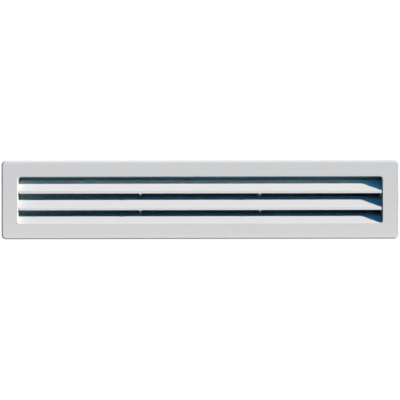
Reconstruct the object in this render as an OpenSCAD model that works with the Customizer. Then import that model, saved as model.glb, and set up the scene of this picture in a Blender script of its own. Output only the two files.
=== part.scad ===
// Ventilation grille for a slot-shaped cut-out: a moulded frame with a louvre core behind it.
// Lengths are in millimetres. The origin is on the wall plane, at the middle of the opening.
// +X is to the right as seen from the room, +Z is up, and the front faces -Y.

/* [Frame] */
// Width of the front frame
frame_w = 250; // [180:1:400]
// Width of the border above and below the opening
border = 10.35; // [9.5:0.05:16]
// Width of the border at the two ends
end_border = 10.5; // [10:0.1:16]
// How far the middle of the frame's plate lies above the middle of the opening
plate_up = 0.2; // [0:0.1:0.5]
// How far the frame stands out from the wall
frame_proud = 4; // [3.8:0.1:6]
// Thickness of the frame's front plate
plate_t = 2; // [1.6:0.1:2.2]
// Thickness of the frame's turned-back rim
rim_t = 2; // [1.2:0.1:2.2]
// Corner radius of the frame, seen from the front
corner_r = 2.8; // [2.6:0.1:4]
// Radius that rounds the frame's front edge
edge_r = 0.9; // [0.6:0.1:1.6]
// Corner radius of the opening
opening_r = 1.5; // [1:0.1:2.5]
// Bevel round the front edge of the opening
opening_bevel = 0.5; // [0.2:0.1:1.2]

/* [Blades] */
// Height from the lower blade to the upper one
blade_pitch = 10.5; // [9:0.1:13]
// Height from the sill's slope to the lower blade's
sill_pitch = 10.2; // [9:0.05:12]
// Height from the upper blade's front edge to the opening's upper wall
head_pitch = 10.2; // [9.2:0.1:12]
// Thickness of a blade
blade_t = 1.2; // [1:0.1:1.6]
// Slope of the blades, rising towards the back
blade_angle = 45; // [35:1:50]
// Depth of a blade from front to back
blade_reach = 6.9; // [5:0.1:7.5]
// Depth of the sill's slope from front to back
sill_reach = 6.7; // [5:0.1:7]
// How far the sill's slope starts behind the opening's lower bevel
sill_step = 0.35; // [0:0.05:0.6]
// How far the blades' front edges lie behind the face
blade_setback = 0.3; // [0.2:0.05:0.9]
// Width of the flat under a blade's front edge
lip_land = 0.35; // [0.3:0.05:0.6]
// Radius on the long edges of a blade
blade_edge_r = 0.1; // [0.1:0.05:0.2]
// Length of blade that each end cheek holds
tenon = 2; // [1:0.1:2.5]

/* [Core] */
// Thickness of an end cheek
cheek_t = 3; // [2.8:0.1:3.2]
// Thickness of a stiffener
stiffener_t = 1; // [0.8:0.1:2]
// Distance of each stiffener from the middle
stiffener_x = 37.8; // [25:0.1:60]
// Height of a stiffener's toe below the blade's front edge
toe_h = 0.5; // [0.3:0.1:1.2]
// Depth behind the wall plane at which the core ends and the mesh lies
core_depth = 12; // [10:0.5:14]

/* [Collar] */
// Depth of the collar behind the wall plane
collar_depth = 18; // [17.5:0.5:30]
// Thickness of the collar's walls
collar_t = 1.6; // [1.4:0.1:2]

/* [Mesh] */
// Distance from one strand of the mesh to the next
mesh_pitch = 4; // [3:0.5:6]
// Width of a strand
strand_w = 0.8; // [0.4:0.1:1]
// Thickness of the mesh
mesh_t = 0.5; // [0.3:0.1:0.8]

/* [Fixings] */
// Thickness of the spring clips' steel
clip_t = 0.5; // [0.4:0.1:0.8]
// How far a relaxed spring clip stands out from the collar
clip_out = 4; // [2.5:0.1:4.5]
// Height of the clip's base, which carries the two screws
clip_h = 24; // [22:1:26]
// Width of the clip's springing arm
arm_w = 12; // [8:1:12]
// Radius of the screws' shanks
screw_r = 1.4; // [1.2:0.1:1.6]

/* [Hidden] */
$fn = 48;

// Face and back of the front plate, measured towards the room from the wall plane
face_z = frame_proud;
plate_back = frame_proud - plate_t;

// Blades: the vertical cut at the front is as high as the sloping plate is thick
cut_h = blade_t / cos(blade_angle);
rise = blade_reach * tan(blade_angle);
front_z = face_z - blade_setback;
rear_z = front_z - blade_reach;
sill_rise = sill_reach * tan(blade_angle);
sill_rear = front_z - sill_reach;

// Opening: two free blades over the sill, whose slope starts just behind the opening's lower bevel
slopes_h = sill_pitch + blade_pitch + head_pitch;
sill_drop = opening_bevel + sill_step - blade_setback + cut_h;
opening_w = frame_w - 2 * end_border;
opening_h = round(10 * (slopes_h - sill_drop)) / 10;
frame_h = opening_h + 2 * border;
sill_up = -opening_h / 2 - sill_drop;
lower_up = sill_up + sill_pitch;
upper_up = lower_up + blade_pitch;

// Collar, with the cheeks inside its ends
floor_gap = 0.6;
inner_w = opening_w + 2 * cheek_t;
inner_h = opening_h + 2 * floor_gap;
outer_w = inner_w + 2 * collar_t;
outer_h = inner_h + 2 * collar_t;
collar_inner_r = 1;
collar_outer_r = 2;
lead_in = 0.6;
seam = 0.2;
play = 0.1;

// Stiffener: its spine stands this far behind the blades' front edges
spine_setback = 6;
spine_z = front_z - spine_setback;

// Frame that clamps the mesh
mesh_z = -core_depth - mesh_t;
mesh_edge = 1.6;
clamp_t = 1.4;
clamp_lap = 2.6;
clamp_flange_t = 1.2;
clamp_end = -collar_depth + 0.4;
hook_x = opening_w / 4;
hook_w = 7;
hook_h = 1.2;
slit_w = 0.7;
window_front = -core_depth - 2.2;
window_rear = window_front - 1.9;

// Spring clips and their screws, on the collar's end walls
screw_up = 8.8;
screw_z = -core_depth + 4.4;
head_r = 2.3;
head_h = 1.3;
screw_length = collar_t + 2.3;
pad_front = -3.4;
pad_rear = -15.4;
bend_r = 0.8;

light_grey = "#d9dadb";
mid_grey = "#a6a6a7";
charcoal = "#20242a";
foam = "#3a3c3f";
steel = "#b4b8bd";

// Turns what is drawn as a front view, with +Z towards the room, to stand upright
module upright() {
    rotate([90, 0, 0]) children();
}

// Rectangle with round corners
module rounded_rect(w, h, r) {
    square([w - 2 * r, h], center = true);
    square([w, h - 2 * r], center = true);
    for (sx = [-1, 1], sy = [-1, 1])
        translate([sx * (w / 2 - r), sy * (h / 2 - r)]) circle(r);
}

// Prism on a rounded rectangle, from depth low to depth high
module rounded_block(w, h, r, low, high) {
    translate([0, 0, low]) linear_extrude(high - low) rounded_rect(w, h, r);
}

// Sweeps a section round a rounded rectangle. In the section, x points outwards from the
// rectangle's outline and y towards the room.
module around(w, h, r) {
    for (turn = [0:3]) {
        across = turn % 2 == 0 ? w : h;
        along = turn % 2 == 0 ? h : w;
        rotate([0, 0, 90 * turn]) {
            translate([across / 2, 0, 0]) rotate([90, 0, 0])
                linear_extrude(along - 2 * r, center = true) children();
            translate([across / 2 - r, along / 2 - r, 0])
                rotate_extrude(angle = 90) translate([r, 0]) children();
        }
    }
}

// Bar along X whose section has points [up, towards the room]
module bar(length, points) {
    rotate([90, 0, 90]) linear_extrude(length, center = true) polygon(points);
}

function unit(v) = v / norm(v);

// Points that round the corner at b, between a and c, to radius r
function corner_arc(a, b, c, r, steps = 4) =
    let (u = unit(a - b),
         v = unit(c - b),
         half = acos(u * v) / 2,
         middle = b + unit(u + v) * r / sin(half),
         first = b + u * r / tan(half) - middle,
         last = b + v * r / tan(half) - middle)
    [for (i = [0:steps]) middle + r * unit(first * (steps - i) + last * i)];

// Closed outline with every corner rounded to radius r
function rounded(points, r) =
    let (n = len(points))
    [for (i = [0:n - 1])
        each corner_arc(points[(i + n - 1) % n], points[i], points[(i + 1) % n], r)];

// Open path with its inner corners rounded to radius r
function bent_path(points, r) =
    let (n = len(points))
    concat([points[0]],
           [for (i = [1:n - 2]) each corner_arc(points[i - 1], points[i], points[i + 1], r, 6)],
           [points[n - 1]]);

// Direction of a path at point i
function heading(path, i) =
    unit(path[min(i + 1, len(path) - 1)] - path[max(i - 1, 0)]);

// Outline of a strip of thickness t whose middle follows the path
function strip(path, t) =
    let (n = len(path),
         side = [for (i = [0:n - 1])
             let (d = heading(path, i)) [-d[1], d[0]] * t / 2])
    concat([for (i = [0:n - 1]) path[i] + side[i]],
           [for (i = [n - 1:-1:0]) path[i] - side[i]]);

// Section of a free blade whose front edge starts at the height up. It thins a little towards
// the back, from the flat under its lip.
function blade_section(up) = [
    [up, front_z - lip_land],
    [up, front_z],
    [up + cut_h, front_z],
    [up + cut_h + rise, rear_z],
    [up + rise, rear_z]
];

// Height of a blade's upper surface at depth z
function blade_top(up, z) = up + cut_h + (front_z - z) * tan(blade_angle);

// Depth at which the sill's slope, or the underside of it, reaches a height
function sill_depth(height, under = 0) =
    front_z - (height - sill_up - cut_h + under) / tan(blade_angle);

// Space in which the core sits: the opening in front, and the cheeks' pockets behind the plate
module core_space() {
    rounded_block(opening_w - 2 * play, opening_h, opening_r, plate_back - 0.5, face_z + 1);
    translate([0, 0, (plate_back - play - core_depth) / 2])
        cube([opening_w + 2 * tenon, inner_h, core_depth + plate_back - play], center = true);
}

// Sill: a slope that meets the opening's lower edge, with a foot on the collar's floor
foot_t = 1.2;
sill_floor = -inner_h / 2;
sill_section = [
    [-opening_h / 2, sill_depth(-opening_h / 2)],
    [sill_up + cut_h + sill_rise, sill_rear],
    [sill_up + sill_rise, sill_rear],
    [sill_floor + foot_t, sill_depth(sill_floor + foot_t, cut_h)],
    [sill_floor + foot_t, sill_rear],
    [sill_floor, sill_rear],
    [sill_floor, plate_back - play],
    [-opening_h / 2, plate_back - play]
];

module front_frame() {
    color(light_grey) upright() {
        difference() {
            translate([0, plate_up, 0]) plate();
            rounded_block(opening_w, opening_h, opening_r, 0, face_z + 1);
            around(opening_w, opening_h, opening_r) polygon([
                [-0.2, face_z - opening_bevel - 0.2],
                [opening_bevel + 0.2, face_z + 0.2],
                [-0.2, face_z + 0.2]
            ]);
        }
        collar();
    }
}

// Frame's plate with its rim turned back to the wall, before the opening is cut
module plate() {
    difference() {
        union() {
            translate([0, 0, face_z / 2])
                cube([frame_w - 2 * corner_r + seam, frame_h - 2 * corner_r + seam, face_z],
                     center = true);
            around(frame_w, frame_h, corner_r) rim_section();
        }
        rounded_block(frame_w - 2 * rim_t, frame_h - 2 * rim_t, corner_r - 0.8, -1, plate_back);
    }
}

// Section of the frame's rim, with its front edge rounded
module rim_section() {
    translate([-corner_r, 0]) square([corner_r, face_z - edge_r]);
    translate([-corner_r, 0]) square([corner_r - edge_r, face_z]);
    translate([-edge_r, face_z - edge_r]) circle(edge_r);
}

// Collar that goes into the cut-out, with windows for the mesh frame's hooks and screw holes
module collar() {
    difference() {
        rounded_block(outer_w, outer_h, collar_outer_r, -collar_depth, plate_back);
        rounded_block(inner_w, inner_h, collar_inner_r, -collar_depth - 1, plate_back + 1);
        around(outer_w, outer_h, collar_outer_r) polygon([
            [-lead_in, -collar_depth],
            [0.2, -collar_depth + lead_in + 0.2],
            [0.2, -collar_depth - 0.2],
            [-lead_in, -collar_depth - 0.2]
        ]);
        for (side = [-1, 1])
            translate([side * hook_x, 0, (window_front + window_rear) / 2])
                cube([hook_w + 1, outer_h + 2, window_front - window_rear], center = true);
        at_screws() cylinder(h = 4 * collar_t, r = screw_r + 0.2, center = true);
    }
}

// Places the children at the four screws, with +Z pointing out of the collar's end wall
module at_screws() {
    for (side = [-1, 1], up = [-1, 1])
        translate([side * outer_w / 2, up * screw_up, screw_z]) rotate([0, side * 90, 0]) children();
}

module free_blade(up) {
    color(light_grey) upright() intersection() {
        bar(inner_w, rounded(blade_section(up), blade_edge_r));
        core_space();
    }
}

module blade_upper() free_blade(upper_up);

module blade_lower() free_blade(lower_up);

module sill_blade() {
    color(light_grey) upright() intersection() {
        bar(inner_w, sill_section);
        core_space();
    }
}

// Comb that keeps the blades apart: a tooth backs each free blade and hooks under its front edge
module stiffener(side) {
    top = upper_up + cut_h + rise;
    color(light_grey) upright() translate([side * stiffener_x, 0, 0]) difference() {
        union() {
            for (up = [lower_up, upper_up])
                bar(stiffener_t, [
                    [up, front_z],
                    [up - toe_h, front_z],
                    [up - toe_h + spine_setback * tan(blade_angle), spine_z],
                    [up + cut_h + rise, rear_z]
                ]);
            bar(stiffener_t, [
                [-inner_h / 2, spine_z],
                [blade_top(upper_up, spine_z), spine_z],
                [top, rear_z],
                [top, -core_depth],
                [-inner_h / 2, -core_depth]
            ]);
        }
        for (up = [lower_up, upper_up])
            bar(2 * stiffener_t, blade_section(up));
        bar(2 * stiffener_t, [
            [blade_top(sill_up, spine_z + 1), spine_z + 1],
            [sill_up + cut_h + sill_rise, sill_rear],
            [-inner_h, sill_rear],
            [-inner_h, spine_z + 1]
        ]);
    }
}

module stiffener_left() stiffener(-1);

module stiffener_right() stiffener(1);

// Plate inside the collar's end, with a pocket for each blade and holes for the clip screws
module end_cheek(side) {
    width = cheek_t - play;
    color(light_grey) upright() difference() {
        translate([side * (opening_w + width) / 2, 0, (plate_back - core_depth) / 2])
            cube([width, inner_h - 2 * play, plate_back + core_depth], center = true);
        for (up = [lower_up, upper_up])
            bar(opening_w + 2 * tenon, rounded(blade_section(up), blade_edge_r));
        bar(opening_w + 2 * tenon, sill_section);
        at_screws() cylinder(h = 2 * screw_length, r = screw_r, center = true);
    }
}

module end_cheek_left() end_cheek(-1);

module end_cheek_right() end_cheek(1);

// Net with a solid edge, clamped between the core and the mesh frame
module insect_mesh() {
    w = inner_w - 4 * play;
    h = inner_h - 4 * play;
    columns = floor((w - 2 * mesh_edge) / mesh_pitch);
    rows = floor((h - 2 * mesh_edge) / mesh_pitch);
    color(charcoal) upright() translate([0, 0, mesh_z]) linear_extrude(mesh_t) {
        difference() {
            square([w, h], center = true);
            square([w - 2 * mesh_edge, h - 2 * mesh_edge], center = true);
        }
        for (i = [0:columns])
            translate([(i - columns / 2) * mesh_pitch, 0])
                square([strand_w, h - mesh_edge], center = true);
        for (i = [0:rows])
            translate([0, (i - rows / 2) * mesh_pitch])
                square([w - mesh_edge, strand_w], center = true);
    }
}

// Rear frame: an angle section all round, two bars behind the stiffeners and four snap hooks
module mesh_frame() {
    w = inner_w - 2 * play;
    h = inner_h - 2 * play;
    color(mid_grey) upright() {
        difference() {
            rounded_block(w, h, collar_inner_r, clamp_end, mesh_z);
            rounded_block(w - 2 * clamp_t, h - 2 * clamp_t, collar_inner_r, clamp_end - 1,
                          mesh_z - clamp_flange_t);
            rounded_block(w - 2 * clamp_lap, h - 2 * clamp_lap, collar_inner_r, clamp_end - 1,
                          mesh_z + 1);
            for (side = [-1, 1], edge = [-1, 1])
                translate([side * hook_x + edge * (hook_w + slit_w) / 2, 0,
                           clamp_end + (mesh_z - clamp_flange_t - clamp_end) / 2 - 0.5])
                    cube([slit_w, h + 2, mesh_z - clamp_flange_t - clamp_end + 1], center = true);
        }
        for (side = [-1, 1])
            translate([side * stiffener_x, 0, mesh_z - clamp_flange_t / 2])
                cube([1.6, h - 2 * clamp_lap + 1, clamp_flange_t], center = true);
        for (side = [-1, 1], up = [0, 1])
            translate([side * hook_x, 0, 0]) mirror([0, up, 0]) hook(h / 2);
    }
}

// Nose of a snap hook, which catches the rear edge of a window in the collar
module hook(up) {
    bar(hook_w, [
        [up - clamp_t / 2, window_rear],
        [up + hook_h, window_rear],
        [up + hook_h, window_rear + 0.4],
        [up, window_front - 0.1],
        [up - clamp_t / 2, window_front - 0.1]
    ]);
}

// Foam ring between the flange and the wall, a little thicker than the rim is deep
module gasket() {
    proud = 0.6;
    gap = 0.3;
    color(foam) upright() difference() {
        translate([0, plate_up, 0])
            rounded_block(frame_w - 2 * rim_t - 2 * gap, frame_h - 2 * rim_t - 2 * gap,
                          corner_r - 1, -proud, plate_back);
        rounded_block(outer_w + 2 * gap, outer_h + 2 * gap, collar_outer_r, -proud - 1,
                      plate_back + 1);
    }
}

// Leaf spring on the collar's end wall. Its arm folds back at the rear and leans outwards,
// so that it gives way as the grille goes in and then grips the edge of the cut-out.
module spring_clip(side) {
    base = outer_w / 2 + clip_t / 2;
    arm = bent_path([
        [base, pad_front],
        [base, pad_rear - 0.4],
        [base + 2 * bend_r, pad_rear - 0.4],
        [base + clip_out - clip_t, pad_front - 3],
        [base + clip_out - clip_t - 2, pad_front + 0.4]
    ], bend_r * 0.98);
    color(steel) upright() difference() {
        mirror([side < 0 ? 1 : 0, 0, 0]) union() {
            rotate([90, 0, 0]) linear_extrude(arm_w, center = true)
                polygon(strip(arm, clip_t));
            translate([base, 0, (pad_front + pad_rear) / 2 + 1.5])
                cube([clip_t, clip_h, pad_front - pad_rear - 3], center = true);
        }
        at_screws() cylinder(h = 4 * clip_t, r = screw_r + 0.2, center = true);
    }
}

module spring_clip_left() spring_clip(-1);

module spring_clip_right() spring_clip(1);

// Pan head screws with a cross recess
module clip_screws() {
    color(steel) upright() at_screws() difference() {
        union() {
            translate([0, 0, -screw_length]) cylinder(h = screw_length + clip_t, r = screw_r);
            translate([0, 0, clip_t]) cylinder(h = head_h * 0.6, r = head_r);
            translate([0, 0, clip_t + head_h * 0.6])
                cylinder(h = head_h * 0.4, r1 = head_r, r2 = head_r * 0.75);
        }
        for (turn = [0, 90])
            rotate([0, 0, turn]) translate([0, 0, clip_t + head_h])
                cube([head_r * 1.3, 0.7, head_h], center = true);
    }
}

front_frame();
blade_upper();
blade_lower();
sill_blade();
stiffener_left();
stiffener_right();
end_cheek_left();
end_cheek_right();
insect_mesh();
mesh_frame();
gasket();
spring_clip_left();
spring_clip_right();
clip_screws();
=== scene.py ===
# Ventilation grille: finishes, woven net, foam seal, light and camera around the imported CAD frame.
# Lengths are in metres. +X is right and +Z up as seen from the room, and the front faces -Y.
import math
import bmesh
import bpy
from mathutils import Matrix, Vector


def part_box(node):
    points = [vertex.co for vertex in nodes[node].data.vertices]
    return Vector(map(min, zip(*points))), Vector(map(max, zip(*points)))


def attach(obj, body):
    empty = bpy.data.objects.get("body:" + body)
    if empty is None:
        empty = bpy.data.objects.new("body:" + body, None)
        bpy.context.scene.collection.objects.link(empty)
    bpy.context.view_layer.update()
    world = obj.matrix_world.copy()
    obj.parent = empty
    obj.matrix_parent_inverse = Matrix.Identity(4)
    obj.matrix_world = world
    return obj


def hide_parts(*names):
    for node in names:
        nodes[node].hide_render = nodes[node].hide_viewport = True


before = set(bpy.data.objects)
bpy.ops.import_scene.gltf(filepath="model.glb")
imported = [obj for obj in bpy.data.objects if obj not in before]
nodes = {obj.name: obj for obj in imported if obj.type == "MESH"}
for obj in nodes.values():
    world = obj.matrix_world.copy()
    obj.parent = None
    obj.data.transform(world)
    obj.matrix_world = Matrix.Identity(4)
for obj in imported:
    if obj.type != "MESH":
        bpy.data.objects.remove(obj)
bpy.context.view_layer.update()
mm = 0.001
white, black = (1.0, 1.0, 1.0, 1.0), (0.0, 0.0, 0.0, 1.0)
scene = bpy.context.scene
frameLow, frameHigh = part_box("front_frame")
netLow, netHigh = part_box("insect_mesh")
print("stage: frame loaded,", len(nodes), "nodes")


def addNode(tree, kind, values=None, **settings):
    node = tree.nodes.new(kind)
    for name, value in settings.items():
        setattr(node, name, value)
    for name, value in (values or {}).items():
        node.inputs[name].default_value = value
    return node


def remap(tree, value, fromRange, toRange=(0.0, 1.0)):
    node = addNode(tree, "ShaderNodeMapRange", {"From Min": fromRange[0], "From Max": fromRange[1],
                                                "To Min": toRange[0], "To Max": toRange[1]})
    tree.links.new(value, node.inputs["Value"])
    return node.outputs[0]


def newGroup(name, inputs, outputs):
    group = bpy.data.node_groups.new(name, "ShaderNodeTree")
    for label, socketType, value in inputs:
        socket = group.interface.new_socket(label, in_out="INPUT", socket_type=socketType)
        if value is not None:
            socket.default_value = value
    for label, socketType in outputs:
        group.interface.new_socket(label, in_out="OUTPUT", socket_type=socketType)
    return group, group.nodes.new("NodeGroupInput"), group.nodes.new("NodeGroupOutput")


def newMaterial(name, **shaderValues):
    material = bpy.data.materials.new(name)
    material.use_nodes = True
    shader = material.node_tree.nodes["Principled BSDF"]
    for label, value in shaderValues.items():
        shader.inputs[label.replace("_", " ")].default_value = value
    return material, material.node_tree, shader


# A material of which only the output is there yet
def bareMaterial(name):
    material = bpy.data.materials.new(name)
    material.use_nodes = True
    material.node_tree.nodes.clear()
    return material, material.node_tree, addNode(material.node_tree, "ShaderNodeOutputMaterial")


# A bmesh made into an object of the scene, in its one material
def finishPiece(name, shape, material, smooth=False):
    mesh = bpy.data.meshes.new(name)
    shape.to_mesh(mesh)
    shape.free()
    for polygon in mesh.polygons:
        polygon.use_smooth = smooth
    mesh.materials.append(material)
    piece = bpy.data.objects.new(name, mesh)
    scene.collection.objects.link(piece)
    return piece


# Settings of the noise in each shader group
noises = {
    "grain": {"Detail": 3.0, "Roughness": 0.6},
    "mottle": {"Detail": 4.0, "Roughness": 0.55},
    "marks": {"Scale": 1.0, "Detail": 4.0, "Roughness": 0.65},
    "dust": {"Detail": 6.0, "Roughness": 0.7},
}


# Spark-eroded mould grain: a fine height, and a slow mottle that goes with it
def makeMouldGrain():
    group, inside, outside = newGroup(
        "mouldGrain",
        [("Vector", "NodeSocketVector", None), ("Grain per metre", "NodeSocketFloat", 3000.0),
         ("Mottle per metre", "NodeSocketFloat", 60.0)],
        [("Height", "NodeSocketFloat"), ("Mottle", "NodeSocketFloat")])
    fine = addNode(group, "ShaderNodeTexNoise", noises["grain"])
    slow = addNode(group, "ShaderNodeTexNoise", noises["mottle"])
    link = group.links.new
    link(inside.outputs["Vector"], fine.inputs["Vector"])
    link(inside.outputs["Grain per metre"], fine.inputs["Scale"])
    link(inside.outputs["Vector"], slow.inputs["Vector"])
    link(inside.outputs["Mottle per metre"], slow.inputs["Scale"])
    link(fine.outputs["Fac"], outside.inputs["Height"])
    link(slow.outputs["Fac"], outside.inputs["Mottle"])
    return group


# Long faint marks, as plastic leaves when it flows along a mould, or rolling on steel. They run along the
# axis with the least stretch.
def makeFlowMarks():
    group, inside, outside = newGroup(
        "flowMarks",
        [("Vector", "NodeSocketVector", None), ("Stretch", "NodeSocketVector", (6.0, 250.0, 650.0))],
        [("Mark", "NodeSocketFloat")])
    stretch = addNode(group, "ShaderNodeVectorMath", operation="MULTIPLY")
    marks = addNode(group, "ShaderNodeTexNoise", noises["marks"])
    link = group.links.new
    link(inside.outputs["Vector"], stretch.inputs[0])
    link(inside.outputs["Stretch"], stretch.inputs[1])
    link(stretch.outputs["Vector"], marks.inputs["Vector"])
    link(marks.outputs["Fac"], outside.inputs["Mark"])
    return group


# How far up a surface faces, and how strong the noise is, where dust starts and where it is full
dustFalls = {"facesUp": (0.3, 1.0), "noise": (0.4, 0.72)}


# Dust that settles on surfaces facing up, in patches
def makeSettledDust():
    group, inside, outside = newGroup(
        "settledDust",
        [("Vector", "NodeSocketVector", None), ("Patches per metre", "NodeSocketFloat", 90.0)],
        [("Dust", "NodeSocketFloat")])
    geometry = addNode(group, "ShaderNodeNewGeometry")
    split = addNode(group, "ShaderNodeSeparateXYZ")
    patches = addNode(group, "ShaderNodeTexNoise", noises["dust"])
    both = addNode(group, "ShaderNodeMath", operation="MULTIPLY")
    link = group.links.new
    link(geometry.outputs["Normal"], split.inputs[0])
    link(inside.outputs["Vector"], patches.inputs["Vector"])
    link(inside.outputs["Patches per metre"], patches.inputs["Scale"])
    link(remap(group, split.outputs["Z"], dustFalls["facesUp"]), both.inputs[0])
    link(remap(group, patches.outputs["Fac"], dustFalls["noise"]), both.inputs[1])
    link(both.outputs[0], outside.inputs["Dust"])
    return group


groups = {"grain": makeMouldGrain(), "marks": makeFlowMarks(), "dust": makeSettledDust()}


def placeGroup(tree, name, vector, **values):
    node = addNode(tree, "ShaderNodeGroup", node_tree=groups[name])
    tree.links.new(vector, node.inputs["Vector"])
    for label, value in values.items():
        node.inputs[label.replace("_", " ")].default_value = value
    return node


def objectPlace(tree):
    return addNode(tree, "ShaderNodeTexCoord").outputs["Object"]


def mixColour(tree, factor, first, second, blend="MIX"):
    node = addNode(tree, "ShaderNodeMix", data_type="RGBA", blend_type=blend)
    for socket, value in ((node.inputs[0], factor), (node.inputs[6], first), (node.inputs[7], second)):
        if isinstance(value, bpy.types.NodeSocket):
            tree.links.new(value, socket)
        else:
            socket.default_value = value
    return node.outputs[2]


def addBump(tree, shader, height, distance, strength, under=None):
    bump = addNode(tree, "ShaderNodeBump", {"Distance": distance, "Strength": strength})
    tree.links.new(height, bump.inputs["Height"])
    if under is not None:
        tree.links.new(under, bump.inputs["Normal"])
    if shader is not None:
        tree.links.new(bump.outputs["Normal"], shader.inputs["Normal"])
    return bump.outputs["Normal"]


# Colour that changes along one axis, through (place, colour) stops
def rampAlong(tree, vector, axis, stops):
    split = addNode(tree, "ShaderNodeSeparateXYZ")
    tree.links.new(vector, split.inputs[0])
    start, stop = stops[0][0], stops[-1][0]
    ramp = addNode(tree, "ShaderNodeValToRGB")
    tree.links.new(remap(tree, split.outputs[axis], (start, stop)), ramp.inputs["Fac"])
    while len(ramp.color_ramp.elements) < len(stops):
        ramp.color_ramp.elements.new(0.5)
    for element, (place, colour) in zip(ramp.color_ramp.elements, stops):
        element.position = (place - start) / (stop - start)
        element.color = (*colour[:3], 1.0)
    return ramp.outputs["Color"]


# 1 for a ray that has already left a matt surface, or else 0
def afterBounce(tree):
    bounced = addNode(tree, "ShaderNodeMath", {1: 1.0}, operation="MINIMUM")
    tree.links.new(addNode(tree, "ShaderNodeLightPath").outputs["Diffuse Depth"], bounced.inputs[0])
    return bounced.outputs[0]


# What all the moulded plastics have in common
plasticSurface = {
    "roughness": (0.42, 0.54), "grainPerMetre": 2600.0, "mottlePerMetre": 45.0, "mottle": (0.3, 0.7),
    "grainStrength": 0.5, "markStretch": (7.0, 300.0, 420.0), "marks": (0.35, 0.65),
    "markDepth": 0.010 * mm, "markStrength": 0.12,
    "dust": 0.02, "dustColour": (0.42, 0.39, 0.35, 1.0), "dustPerMetre": 120.0,
}

# passedOn is the share of its colour that a surface hands on to its neighbours: at the opening's sunlit left
# end, along its middle and at its shaded right end. This is painted light and shade in the bounced light:
# more near the sunlit left end, less and bluer towards the shaded right end, some shares above 1. It keeps
# the shade as deep as it is in the photo. Past the opening's ends a surface hands on the whole of it. Each
# finish's change of tone along an axis is painted light and shade too.
openingLeft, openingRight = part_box("end_cheek_left")[1].x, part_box("end_cheek_right")[0].x
passedOnPlaces = (openingLeft - 1.5 * mm, openingLeft - 0.1 * mm, openingLeft + 18.5 * mm,
                  openingRight - 26.5 * mm, openingRight - 2.5 * mm, openingRight + 0.1 * mm,
                  openingRight + 1.5 * mm)
whole = white[:3]
plasticFinish = {
    "frame": {"colour": (0.720, 0.720, 0.718), "darker": (0.705, 0.705, 0.702), "grainDepth": 0.012 * mm,
              "gloss": 0.25,
              "passedOn": ((1.20, 1.18, 1.15), (1.05, 1.12, 1.20), (0.35, 1.15, 1.34)),
              # Painted shade on the left rounded edge, warmer there; painted light, lighter and warmer
              # towards the bottom and lighter along the top edge, a little darker between
              "paintedLightAndShade": {"X": ((frameLow.x, (1.02, 0.97, 0.86)), (frameLow.x + 1.0 * mm, whole)),
                         "Z": ((frameLow.z, (1.17, 1.13, 1.08)),
                               (frameLow.z + 3.5 * mm, (1.055, 1.045, 1.03)),
                               (frameLow.z + 9.5 * mm, (1.045, 1.035, 1.02)),
                               (frameHigh.z - 9.9 * mm, (1.0, 0.992, 0.99)),
                               (frameHigh.z - 2.0 * mm, (1.0, 0.992, 0.99)),
                               (frameHigh.z - 1.3 * mm, (1.11, 1.10, 1.11)),
                               (frameHigh.z, (1.11, 1.10, 1.12)))}},
    # The blades' colour is a little cooler than the frame's: painted light, for the bluer light on their
    # slopes
    "blade": {"colour": (0.709, 0.716, 0.731), "darker": (0.696, 0.703, 0.718), "grainDepth": 0.010 * mm,
              "gloss": 0.10,
              "passedOn": ((0.15, 0.22, 0.22), (0.02, 0.05, 0.06), (0.0, 0.0, 0.0)),
              # Painted light: the blades' front lips lighter
              "paintedLightAndShade": {"Y": ((frameLow.y + 0.38 * mm, (1.12, 1.12, 1.115)),
                               (frameLow.y + 0.60 * mm, whole))}},
}
# The upper blade's finish paints light into the uppermost gap: it hands on more, bluer light, and its own
# colour is a little darker and warmer to offset that on its sunlit slope
plasticFinish["topBlade"] = {**plasticFinish["blade"], "colour": (0.712, 0.699, 0.694),
                             "darker": (0.700, 0.686, 0.682),
                             "passedOn": ((0.60, 1.18, 1.28), (0.80, 1.08, 1.10), (0.55, 1.20, 1.15))}
# The end cheeks' finish paints light and shade: they hand on much at the sunlit left end and little at the
# shaded right end
plasticFinish["cheek"] = {**plasticFinish["blade"],
                          "passedOn": ((1.05, 1.05, 1.00), (1.0, 0.90, 0.80), (0.10, 0.15, 0.20))}
# The rear frame's finish: mid grey. Its front face, seen only through the uppermost gap, and the strip round
# the net are painted pale teal, painted bluish light of the shade there; it also hands on much more at the
# sunlit left end
plasticFinish["rear"] = {**plasticFinish["blade"], "colour": (0.50, 0.50, 0.505),
                         "darker": (0.47, 0.47, 0.475),
                         "passedOn": ((1.5, 1.7, 1.7), (0.3, 0.6, 0.7), (0.1, 0.2, 0.3)),
                         "paintedLightAndShade": {"Y": ((netHigh.y + 0.1 * mm, (1.18, 1.65, 1.70)),
                                          (netHigh.y + 1.1 * mm, whole))}}


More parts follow.
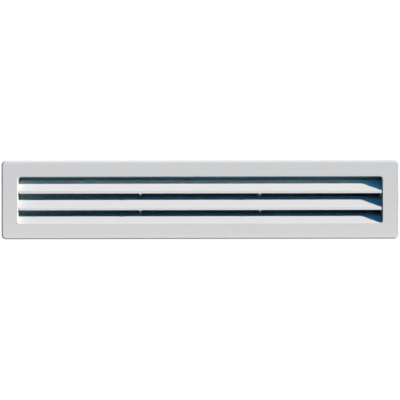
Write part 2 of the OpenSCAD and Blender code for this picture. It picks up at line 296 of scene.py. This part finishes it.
def makePlastic(name, finish):
    surface = plasticSurface
    material, tree, shader = newMaterial(name, Specular_IOR_Level=finish["gloss"])
    vector = objectPlace(tree)
    grain = placeGroup(tree, "grain", vector, Grain_per_metre=surface["grainPerMetre"],
                       Mottle_per_metre=surface["mottlePerMetre"])
    marks = placeGroup(tree, "marks", vector, Stretch=surface["markStretch"])
    dust = placeGroup(tree, "dust", vector, Patches_per_metre=surface["dustPerMetre"])
    tone = remap(tree, marks.outputs["Mark"], surface["marks"])
    colour = mixColour(tree, tone, (*finish["darker"], 1.0), (*finish["colour"], 1.0))
    # Painted light and shade: tone ramps along axes for how light falls
    for axis, stops in finish["paintedLightAndShade"].items():
        colour = mixColour(tree, 1.0, colour, rampAlong(tree, vector, axis, stops), blend="MULTIPLY")
    dusty = addNode(tree, "ShaderNodeMath", {1: surface["dust"]}, operation="MULTIPLY")
    tree.links.new(dust.outputs["Dust"], dusty.inputs[0])
    colour = mixColour(tree, dusty.outputs[0], colour, surface["dustColour"])
    # Painted light and shade: a ray that has bounced meets the colour times the share set along X
    left, middle, right = finish["passedOn"]
    shares = (whole, left, middle, middle, right, right, whole)
    share = rampAlong(tree, vector, "X", tuple(zip(passedOnPlaces, shares)))
    passed = mixColour(tree, 1.0, colour, share, blend="MULTIPLY")
    tree.links.new(mixColour(tree, afterBounce(tree), colour, passed), shader.inputs["Base Color"])
    roughness = remap(tree, grain.outputs["Mottle"], surface["mottle"], surface["roughness"])
    tree.links.new(roughness, shader.inputs["Roughness"])
    fine = addBump(tree, None, grain.outputs["Height"], finish["grainDepth"], surface["grainStrength"])
    addBump(tree, shader, marks.outputs["Mark"], surface["markDepth"], surface["markStrength"], under=fine)
    return material


def dressNode(name, material):
    mesh = nodes[name].data
    mesh.materials.clear()
    mesh.materials.append(material)


framePlastic = makePlastic("satinFrame", plasticFinish["frame"])
bladePlastic = makePlastic("satinBlade", plasticFinish["blade"])
topBladePlastic = makePlastic("satinTopBlade", plasticFinish["topBlade"])
cheekPlastic = makePlastic("satinCheek", plasticFinish["cheek"])
rearPlastic = makePlastic("satinRear", plasticFinish["rear"])
dressNode("front_frame", framePlastic)
dressNode("mesh_frame", rearPlastic)
for name in ("blade_lower", "sill_blade", "stiffener_left", "stiffener_right"):
    dressNode(name, bladePlastic)
dressNode("blade_upper", topBladePlastic)
for name in ("end_cheek_left", "end_cheek_right"):
    dressNode(name, cheekPlastic)
print("stage: plastics")


steelSurface = {"grainPerMetre": 2000.0, "mottlePerMetre": 150.0, "mottle": (0.3, 0.7), "marks": (0.3, 0.7),
                "markDepth": 0.006 * mm, "markStrength": 0.35}
steelFinish = {
    "clip": {"colour": (0.62, 0.62, 0.61), "darker": (0.47, 0.47, 0.47), "roughness": (0.24, 0.36),
             "markStretch": (1800.0, 1800.0, 60.0)},
    "screw": {"colour": (0.66, 0.68, 0.70), "darker": (0.52, 0.55, 0.58), "roughness": (0.20, 0.34),
              "markStretch": (700.0, 700.0, 700.0)},
}


def makeSteel(name, finish):
    surface = steelSurface
    material, tree, shader = newMaterial(name, Metallic=1.0)
    vector = objectPlace(tree)
    marks = placeGroup(tree, "marks", vector, Stretch=finish["markStretch"])
    grain = placeGroup(tree, "grain", vector, Grain_per_metre=surface["grainPerMetre"],
                       Mottle_per_metre=surface["mottlePerMetre"])
    tone = remap(tree, marks.outputs["Mark"], surface["marks"])
    colour = mixColour(tree, tone, (*finish["darker"], 1.0), (*finish["colour"], 1.0))
    tree.links.new(colour, shader.inputs["Base Color"])
    roughness = remap(tree, grain.outputs["Mottle"], surface["mottle"], finish["roughness"])
    tree.links.new(roughness, shader.inputs["Roughness"])
    addBump(tree, shader, marks.outputs["Mark"], surface["markDepth"], surface["markStrength"])
    return material


springSteel = makeSteel("rolledSpringSteel", steelFinish["clip"])
for name in ("spring_clip_left", "spring_clip_right"):
    dressNode(name, springSteel)
dressNode("clip_screws", makeSteel("zincPlatedScrew", steelFinish["screw"]))
print("stage: clips and screws")


# The wave is how far a wire swings aside where it crosses another. The edge is the strip's width.
net = {"pitch": 2.0 * mm, "wire": 0.26 * mm, "wave": 0.115 * mm, "stepsPerCrossing": 4,
       "edge": 1.6 * mm, "edgeRounding": 0.12 * mm, "edgeSteps": 2,
       "colour": (0.060, 0.063, 0.068, 1.0), "darker": (0.030, 0.032, 0.035, 1.0), "gloss": 0.35,
       "roughness": (0.45, 0.65), "mottle": (0.3, 0.7), "grainPerMetre": 4000.0, "mottlePerMetre": 200.0,
       "grainDepth": 0.01 * mm, "grainStrength": 0.5}


def makeNetMaterial():
    material, tree, shader = newMaterial("coatedNet", Specular_IOR_Level=net["gloss"])
    grain = placeGroup(tree, "grain", objectPlace(tree), Grain_per_metre=net["grainPerMetre"],
                       Mottle_per_metre=net["mottlePerMetre"])
    colour = mixColour(tree, grain.outputs["Mottle"], net["darker"], net["colour"])
    tree.links.new(colour, shader.inputs["Base Color"])
    roughness = remap(tree, grain.outputs["Mottle"], net["mottle"], net["roughness"])
    tree.links.new(roughness, shader.inputs["Roughness"])
    addBump(tree, shader, grain.outputs["Height"], net["grainDepth"], net["grainStrength"])
    return material


# One wire along X (0) or Z (2), which passes over and under the wires that cross it
def addWire(curve, along, across, offset, phase, span, crossings):
    middle = (netLow + netHigh) / 2
    steps = (crossings + 1) * net["stepsPerCrossing"]
    spline = curve.splines.new("POLY")
    spline.points.add(steps)
    for step in range(steps + 1):
        reach = (step / net["stepsPerCrossing"] - (crossings + 1) / 2) * net["pitch"]
        crossing = step / net["stepsPerCrossing"] - 0.5
        point = [0.0, net["wave"] * math.cos(math.pi * (crossing + phase)), 0.0]
        point[along] = max(-span / 2, min(span / 2, reach))
        point[across] = offset
        spline.points[step].co = (point[0] + middle.x, point[1] + middle.y, point[2] + middle.z, 1.0)


def makeNet():
    curve = bpy.data.curves.new("insectNet", "CURVE")
    curve.dimensions = "3D"
    curve.bevel_depth = net["wire"] / 2
    curve.bevel_resolution = 1
    curve.use_fill_caps = True
    spans = {0: netHigh.x - netLow.x - net["edge"], 2: netHigh.z - netLow.z - net["edge"]}
    for along, across in ((0, 2), (2, 0)):
        wires = int(spans[across] / net["pitch"] / 2) * 2
        crossings = int(spans[along] / net["pitch"] / 2) * 2
        for wire in range(wires + 1):
            offset = (wire - wires / 2) * net["pitch"]
            phase = wire + (0 if along == 0 else 1)
            addWire(curve, along, across, offset, phase, spans[along], crossings)
    holder = bpy.data.objects.new("insectNetCurve", curve)
    scene.collection.objects.link(holder)
    mesh = bpy.data.meshes.new_from_object(holder.evaluated_get(bpy.context.evaluated_depsgraph_get()))
    bpy.data.objects.remove(holder)
    mesh.materials.clear()
    mesh.materials.append(makeNetMaterial())
    for polygon in mesh.polygons:
        polygon.use_smooth = True
    piece = bpy.data.objects.new("insectNet", mesh)
    scene.collection.objects.link(piece)
    return piece


# Strip moulded round the net's edge, where the rear frame clamps it
def makeNetEdge():
    shape = bmesh.new()
    rings = []
    for depth in (netLow.y, netHigh.y):
        for inset in (0.0, net["edge"]):
            corners = ((netLow.x + inset, netLow.z + inset), (netHigh.x - inset, netLow.z + inset),
                       (netHigh.x - inset, netHigh.z - inset), (netLow.x + inset, netHigh.z - inset))
            rings.append([shape.verts.new((x, depth, z)) for x, z in corners])
    for first, second in ((0, 1), (1, 3), (3, 2), (2, 0)):
        one, other = rings[first], rings[second]
        for side in range(4):
            after = (side + 1) % 4
            shape.faces.new((one[side], one[after], other[after], other[side]))
    bmesh.ops.recalc_face_normals(shape, faces=shape.faces)
    bmesh.ops.bevel(shape, geom=list(shape.edges), offset=net["edgeRounding"], segments=net["edgeSteps"],
                    profile=0.5, affect="EDGES", material=-1)
    return finishPiece("netEdge", shape, rearPlastic)


insectNet = makeNet()
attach(insectNet, "root")
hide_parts("insect_mesh")
netEdge = makeNetEdge()
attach(netEdge, "root")
print("stage: net,", len(insectNet.data.polygons), "faces, edge", len(netEdge.data.polygons))


# innerHalf is half the ring's inner width and height. Edges bent by more than sharpFrom radians are rounded.
foam = {"outerCorner": 1.8 * mm, "innerCorner": 2.0 * mm, "cornerSteps": 5,
        "innerHalf": (122.4 * mm, 16.85 * mm), "edge": 0.9 * mm, "edgeSteps": 5, "sharpFrom": 1.0,
        "colour": (0.052, 0.054, 0.058, 1.0), "darker": (0.020, 0.021, 0.022, 1.0), "gloss": 0.2,
        "roughness": (0.8, 0.95), "mottle": (0.3, 0.7), "grainPerMetre": 2500.0, "mottlePerMetre": 120.0,
        "cellsPerMetre": 1500.0, "cells": (0.1, 0.7), "cellDepth": 0.12 * mm, "cellStrength": 0.8}


def makeFoamMaterial():
    material, tree, shader = newMaterial("closedCellFoam", Specular_IOR_Level=foam["gloss"])
    vector = objectPlace(tree)
    cells = addNode(tree, "ShaderNodeTexVoronoi", {"Scale": foam["cellsPerMetre"]}, feature="F1")
    tree.links.new(vector, cells.inputs["Vector"])
    grain = placeGroup(tree, "grain", vector, Grain_per_metre=foam["grainPerMetre"],
                       Mottle_per_metre=foam["mottlePerMetre"])
    tone = remap(tree, cells.outputs["Distance"], foam["cells"])
    tree.links.new(mixColour(tree, tone, foam["darker"], foam["colour"]), shader.inputs["Base Color"])
    roughness = remap(tree, grain.outputs["Mottle"], foam["mottle"], foam["roughness"])
    tree.links.new(roughness, shader.inputs["Roughness"])
    addBump(tree, shader, cells.outputs["Distance"], foam["cellDepth"], foam["cellStrength"])
    return material


def addRoundedLoop(shape, halfWidth, low, high, radius, depth):
    corners = ((halfWidth - radius, high - radius, 0.0), (radius - halfWidth, high - radius, 90.0),
               (radius - halfWidth, low + radius, 180.0), (halfWidth - radius, low + radius, 270.0))
    loop = []
    for x, z, turn in corners:
        for step in range(foam["cornerSteps"] + 1):
            angle = math.radians(turn + 90.0 * step / foam["cornerSteps"])
            loop.append(shape.verts.new((x + radius * math.cos(angle), depth, z + radius * math.sin(angle))))
    return [shape.edges.new((loop[place - 1], loop[place])) for place in range(len(loop))]


# The seal swells out between the rim and the collar, so its rear edges are rounded
def makeFoamSeal():
    low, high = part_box("gasket")
    innerHalf, innerHigh = foam["innerHalf"]
    shape = bmesh.new()
    outer = addRoundedLoop(shape, high.x, low.z, high.z, foam["outerCorner"], low.y)
    inner = addRoundedLoop(shape, innerHalf, -innerHigh, innerHigh, foam["innerCorner"], low.y)
    ring = bmesh.ops.bridge_loops(shape, edges=outer + inner)["faces"]
    raised = bmesh.ops.extrude_face_region(shape, geom=ring)["geom"]
    top = [part for part in raised if isinstance(part, bmesh.types.BMVert)]
    bmesh.ops.translate(shape, verts=top, vec=(0.0, high.y - low.y, 0.0))
    bmesh.ops.recalc_face_normals(shape, faces=shape.faces)
    rear = [edge for edge in shape.edges if all(vert in top for vert in edge.verts)
            and len(edge.link_faces) == 2 and edge.calc_face_angle() > foam["sharpFrom"]]
    bmesh.ops.bevel(shape, geom=rear, offset=foam["edge"], segments=foam["edgeSteps"], profile=0.5,
                    affect="EDGES", material=-1)
    return finishPiece("foamSeal", shape, makeFoamMaterial(), smooth=True)


foamSeal = makeFoamSeal()
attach(foamSeal, "root")
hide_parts("gasket")
print("stage: foam seal,", len(foamSeal.data.polygons), "faces")


# 1 for camera, glossy and transmission rays that haven't left a matt surface
def cameraLikeRays(tree):
    path = addNode(tree, "ShaderNodeLightPath")
    first = addNode(tree, "ShaderNodeMath", operation="MAXIMUM")
    second = addNode(tree, "ShaderNodeMath", operation="MAXIMUM")
    tree.links.new(path.outputs["Is Camera Ray"], first.inputs[0])
    tree.links.new(path.outputs["Is Glossy Ray"], first.inputs[1])
    tree.links.new(first.outputs[0], second.inputs[0])
    tree.links.new(path.outputs["Is Transmission Ray"], second.inputs[1])
    direct = addNode(tree, "ShaderNodeMath", operation="SUBTRACT", use_clamp=True)
    tree.links.new(second.outputs[0], direct.inputs[0])
    tree.links.new(afterBounce(tree), direct.inputs[1])
    return direct.outputs[0]


def mixShaders(tree, factor, first, second):
    mix = addNode(tree, "ShaderNodeMixShader")
    for socket, output in zip(mix.inputs, (factor, first, second)):
        tree.links.new(output, socket)
    return mix.outputs[0]


# The ground looks white. What it hands on to the grille is little more than the dark of a room.
room = {"ambient": (0.003, 0.004, 0.005, 1.0), "floorHeight": -0.20, "floorSize": 6.0,
        "floorSeen": (0.55, 0.55, 0.55, 1.0), "floorGlow": 0.62, "floorPassedOn": (0.06, 0.055, 0.05, 1.0)}


def makeWorld():
    world = bpy.data.worlds.new("paleRoom")
    scene.world = world
    world.use_nodes = True
    tree = world.node_tree
    tree.nodes.clear()
    ambient = addNode(tree, "ShaderNodeBackground", {"Color": room["ambient"], "Strength": 1.0})
    pale = addNode(tree, "ShaderNodeBackground", {"Color": white, "Strength": 1.0})
    output = addNode(tree, "ShaderNodeOutputWorld")
    seen = mixShaders(tree, cameraLikeRays(tree), ambient.outputs[0], pale.outputs[0])
    tree.links.new(seen, output.inputs[0])


def makeFloor():
    shape = bmesh.new()
    bmesh.ops.create_grid(shape, x_segments=1, y_segments=1, size=room["floorSize"] / 2)
    bmesh.ops.translate(shape, verts=shape.verts, vec=(0.0, 0.0, room["floorHeight"]))
    material, tree, output = bareMaterial("paleFloor")
    plain = addNode(tree, "ShaderNodeBsdfDiffuse", {"Color": room["floorPassedOn"]})
    seen = addNode(tree, "ShaderNodeBsdfDiffuse", {"Color": room["floorSeen"]})
    glow = addNode(tree, "ShaderNodeEmission", {"Color": white, "Strength": room["floorGlow"]})
    pale = addNode(tree, "ShaderNodeAddShader")
    tree.links.new(seen.outputs[0], pale.inputs[0])
    tree.links.new(glow.outputs[0], pale.inputs[1])
    above = mixShaders(tree, cameraLikeRays(tree), plain.outputs[0], pale.outputs[0])
    clear = addNode(tree, "ShaderNodeBsdfTransparent")
    fromBelow = addNode(tree, "ShaderNodeNewGeometry").outputs["Backfacing"]
    tree.links.new(mixShaders(tree, fromBelow, above, clear.outputs[0]), output.inputs[0])
    finishPiece("floor", shape, material)


# Painted light and shade for the duct behind the grille: a glowing sheet whose tone runs from its left end,
# where the sunlit wall sends light in, to its shaded right end, which is nearly black. clearFor is the
# distance before it in which light from behind still comes through.
duct = {
    "paintedGlow": ((-115.0 * mm, (0.050, 0.090, 0.090)), (-98.0 * mm, (0.022, 0.040, 0.050)),
              (-45.0 * mm, (0.004, 0.014, 0.019)), (55.0 * mm, (0.002, 0.011, 0.021)),
              (93.0 * mm, (0.0, 0.005, 0.014)), (106.0 * mm, (0.0, 0.0017, 0.007))),
    "clearFor": 9.0 * mm, "behind": 0.02 * mm,
}


def makeDuctMaterial():
    material, tree, output = bareMaterial("ductShade")
    glow = addNode(tree, "ShaderNodeEmission", {"Strength": 1.0})
    tree.links.new(rampAlong(tree, objectPlace(tree), "X", duct["paintedGlow"]), glow.inputs["Color"])
    path = addNode(tree, "ShaderNodeLightPath")
    far = addNode(tree, "ShaderNodeMath", {1: duct["clearFor"]}, operation="GREATER_THAN")
    stopped = addNode(tree, "ShaderNodeMath", operation="MULTIPLY")
    front = addNode(tree, "ShaderNodeMath", {0: 1.0}, operation="SUBTRACT")
    seen = addNode(tree, "ShaderNodeMath", operation="MULTIPLY")
    clear = addNode(tree, "ShaderNodeBsdfTransparent")
    link = tree.links.new
    link(path.outputs["Ray Length"], far.inputs[0])
    link(path.outputs["Is Shadow Ray"], stopped.inputs[0])
    link(far.outputs[0], stopped.inputs[1])
    link(mixColour(tree, stopped.outputs[0], white, black), clear.inputs["Color"])
    link(addNode(tree, "ShaderNodeNewGeometry").outputs["Backfacing"], front.inputs[1])
    link(front.outputs[0], seen.inputs[0])
    link(cameraLikeRays(tree), seen.inputs[1])
    link(mixShaders(tree, seen.outputs[0], clear.outputs[0], glow.outputs[0]), output.inputs[0])
    return material


# A sheet of painted shade with a painted glow, which stands in for the unlit duct. The camera meets it only
# from the front. It keeps the light from behind off the blades, and only the net and its frame, which lie
# close before it, still get that light.
def makeDuctShade():
    size = (netHigh.x - netLow.x, netHigh.z - netLow.z, 1.0)
    shape = bmesh.new()
    bmesh.ops.create_grid(shape, x_segments=1, y_segments=1, size=0.5)
    bmesh.ops.scale(shape, verts=shape.verts, vec=size)
    bmesh.ops.rotate(shape, verts=shape.verts, matrix=Matrix.Rotation(math.radians(90.0), 3, "X"))
    bmesh.ops.translate(shape, verts=shape.verts, vec=(0.0, frameHigh.y + duct["behind"], 0.0))
    finishPiece("ductShade", shape, makeDuctMaterial())


flags = {
    "edgeFlag": {"passes": (0.58, 0.62, 0.67, 1.0), "start": -1.0 * mm, "width": 6.4 * mm,
                 "before": 0.02 * mm, "above": 1.4 * mm},
    "endFlag": {"passes": (0.42, 0.45, 0.49, 1.0), "beside": 0.3 * mm, "rimStart": 1.95 * mm,
                "rimEnd": 4.2 * mm, "past": 1.0 * mm, "collar": 33.1 * mm / 2, "rise": 2.0 * mm},
    "wallFlag": {"passes": (0.60, 0.60, 0.59, 1.0), "beside": 0.08 * mm, "before": 0.1 * mm,
                 "height": 14.3 * mm, "deep": 7.0 * mm},
    "topFlag": {"passes": black, "drop": 0.45 * mm, "behind": 0.5 * mm, "clearOfWall": 8.7 * mm},
    "reach": 90.0 * mm,
}


# A studio flag dims the key on what lies just behind its sheets. Only a short shadow ray meets it, so the
# floor and the shadow stay as they are. Each sheet is a pair of opposite corners.
def makeFlag(name, *sheets):
    shape = bmesh.new()
    for first, last in sheets:
        across = (last[0], last[1], first[2])
        back = (first[0], first[1], last[2])
        shape.faces.new([shape.verts.new(corner) for corner in (first, across, last, back)])
    material, tree, output = bareMaterial(name)
    path = addNode(tree, "ShaderNodeLightPath")
    near = addNode(tree, "ShaderNodeMath", {1: flags["reach"]}, operation="LESS_THAN")
    meets = addNode(tree, "ShaderNodeMath", operation="MULTIPLY")
    clear = addNode(tree, "ShaderNodeBsdfTransparent")
    tree.links.new(path.outputs["Ray Length"], near.inputs[0])
    tree.links.new(path.outputs["Is Shadow Ray"], meets.inputs[0])
    tree.links.new(near.outputs[0], meets.inputs[1])
    passes = mixColour(tree, meets.outputs[0], white, flags[name]["passes"])
    tree.links.new(passes, clear.inputs["Color"])
    tree.links.new(clear.outputs[0], output.inputs[0])
    finishPiece(name, shape, material)


# On the frame's rounded right edge
def placeEdgeFlag():
    flag = flags["edgeFlag"]
    start, front = frameHigh.x + flag["start"], frameLow.y - flag["before"]
    makeFlag("edgeFlag", ((start, front, frameLow.z),
                          (start + flag["width"], front, frameHigh.z + flag["above"])))


# On the rim's side and the collar's end wall, at the right
def placeEndFlag():
    flag = flags["endFlag"]
    side, rimEnd = frameHigh.x + flag["beside"], frameLow.y + flag["rimEnd"]
    rim = ((side, frameLow.y + flag["rimStart"], frameLow.z),
           (side, rimEnd, frameHigh.z + flag["beside"]))
    endWall = ((side, rimEnd, -flag["collar"]),
               (side, frameHigh.y + flag["past"], flag["collar"] + flag["rise"]))
    makeFlag("endFlag", rim, endWall)


# One on the opening's left wall, which meets the key almost squarely, and one under the opening's top, where
# it lowers the shadow that the top throws into the uppermost gap
def placeOpeningFlags():
    wall, top = flags["wallFlag"], flags["topFlag"]
    face = openingLeft + wall["beside"]
    makeFlag("wallFlag", ((face, frameLow.y - wall["before"], -wall["height"]),
                          (face, frameLow.y + wall["deep"], wall["height"])))
    depth = frameLow.y + top["behind"]
    makeFlag("topFlag", ((face + top["clearOfWall"], depth, wall["height"] - top["drop"]),
                         (-face, depth, wall["height"])))


# Suns: towards is the way to the lamp, the level is that on a surface facing it, and the angle is in degrees
lamps = {
    "key": {"towards": (2.65, -1.0, 0.85), "level": 2.42, "colour": (1.0, 0.916, 0.794), "angle": 0.5},
    "roomFill": {"towards": (1.2, -1.0, 0.0), "level": 0.105, "colour": (0.0, 0.55, 1.0), "angle": 12.0},
    "skyFill": {"towards": (0.0, -1.0, 0.7), "level": 0.190, "colour": (0.0, 0.36, 0.95), "angle": 30.0},
    "behindLeft": {"towards": (-0.6, 0.8, 0.3), "level": 0.9, "colour": (1.0, 0.93, 0.87), "angle": 30.0},
}


def makeLamps():
    for name, values in lamps.items():
        data = bpy.data.lights.new(name, "SUN")
        data.energy = values["level"] * math.pi
        data.color = values["colour"]
        data.angle = math.radians(values["angle"])
        lamp = bpy.data.objects.new(name, data)
        lamp.rotation_mode = "QUATERNION"
        lamp.rotation_quaternion = Vector(values["towards"]).to_track_quat("Z", "Y")
        scene.collection.objects.link(lamp)


# width is what the picture shows across at the frame's face, and roll is in degrees
view = {"distance": 1.50, "width": 251.6 * mm, "aim": (-0.10 * mm, -0.02 * mm), "roll": 0.10,
        "sensor": 36.0, "clip": (0.05, 20.0)}


def makeCamera():
    data = bpy.data.cameras.new("frontCamera")
    data.sensor_width = view["sensor"]
    data.lens = view["sensor"] * view["distance"] / view["width"]
    data.clip_start, data.clip_end = view["clip"]
    camera = bpy.data.objects.new("frontCamera", data)
    aimX, aimZ = view["aim"]
    turn = Matrix.Rotation(math.radians(view["roll"]), 4, "Y") @ Matrix.Rotation(math.radians(90.0), 4, "X")
    camera.matrix_world = Matrix.Translation((aimX, frameLow.y - view["distance"], aimZ)) @ turn
    scene.collection.objects.link(camera)
    scene.camera = camera


makeWorld()
makeFloor()
makeDuctShade()
placeEdgeFlag()
placeEndFlag()
placeOpeningFlags()
makeLamps()
makeCamera()
scene.view_settings.view_transform = "Standard"
print("stage: light and camera")
